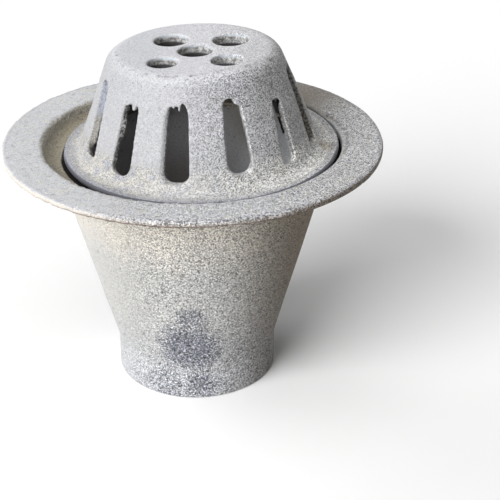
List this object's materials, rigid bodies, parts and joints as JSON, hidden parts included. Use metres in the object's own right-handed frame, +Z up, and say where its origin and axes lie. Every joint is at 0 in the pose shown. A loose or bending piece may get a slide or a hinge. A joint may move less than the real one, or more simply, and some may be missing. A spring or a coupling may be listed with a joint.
{
  "type": "flat roof drain",
  "caption": "Cast flat roof drain: round flange with a recessed seat, funnel and spigot outlet, under a loose slotted dome strainer that keeps leaves out.",
  "frame": {"origin": "centre of the spigot's end face, on the axis of the drain", "axes": "+Z up along the drain's axis towards the dome; the picture looks along +Y, with +X to its right"},
  "size_m": [0.25, 0.25, 0.2348],
  "materials": {
    "body_casting": "rough sand-cast skin, unmachined, warm grey with darker stains",
    "strainer_casting": "rough sand-cast skin, unmachined, pale grey"
  },
  "bodies": {
    "root": {"outlet_body": "body_casting", "dome_strainer": "strainer_casting"}
  },
  "joints": []
}
